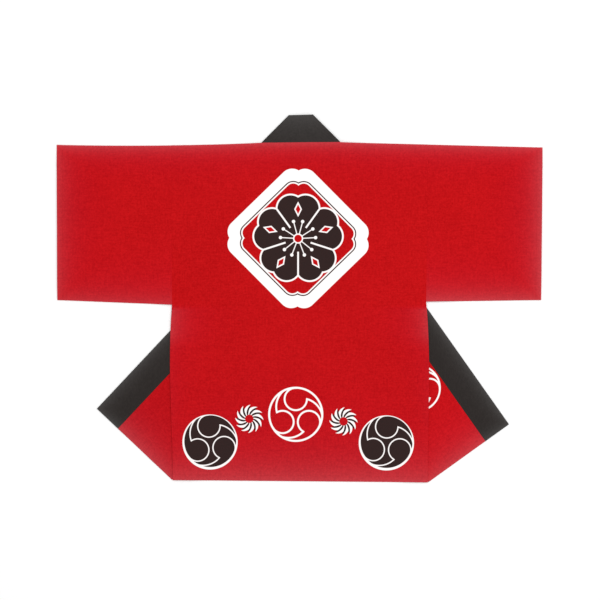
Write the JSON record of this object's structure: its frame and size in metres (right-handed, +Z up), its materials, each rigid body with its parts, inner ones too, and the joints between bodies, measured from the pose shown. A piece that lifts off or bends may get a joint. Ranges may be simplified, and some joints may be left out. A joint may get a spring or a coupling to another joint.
{
  "type": "happi coat laid flat",
  "caption": "Short straight-cut cotton festival coat laid flat, back upwards, wide square sleeves, black collar band, both fronts turned outwards below the back.",
  "frame": {"origin": "bottom centre of the laid coat's bounding box, on the surface it lies on", "axes": "+X across the coat from its left sleeve to its right sleeve as seen from above, +Y from hem to neck, +Z up from the surface"},
  "size_m": [1.227, 0.9294, 0.0078],
  "materials": {
    "red_cotton": "matt plain-weave cotton, dyed red and printed in black and white",
    "black_cotton": "matt plain-weave cotton, dyed black, folded double"
  },
  "bodies": {
    "root": {"back": "red_cotton", "front_left": "red_cotton", "front_right": "red_cotton", "sleeve_left": "red_cotton", "sleeve_right": "red_cotton", "collar": "black_cotton"}
  },
  "joints": []
}
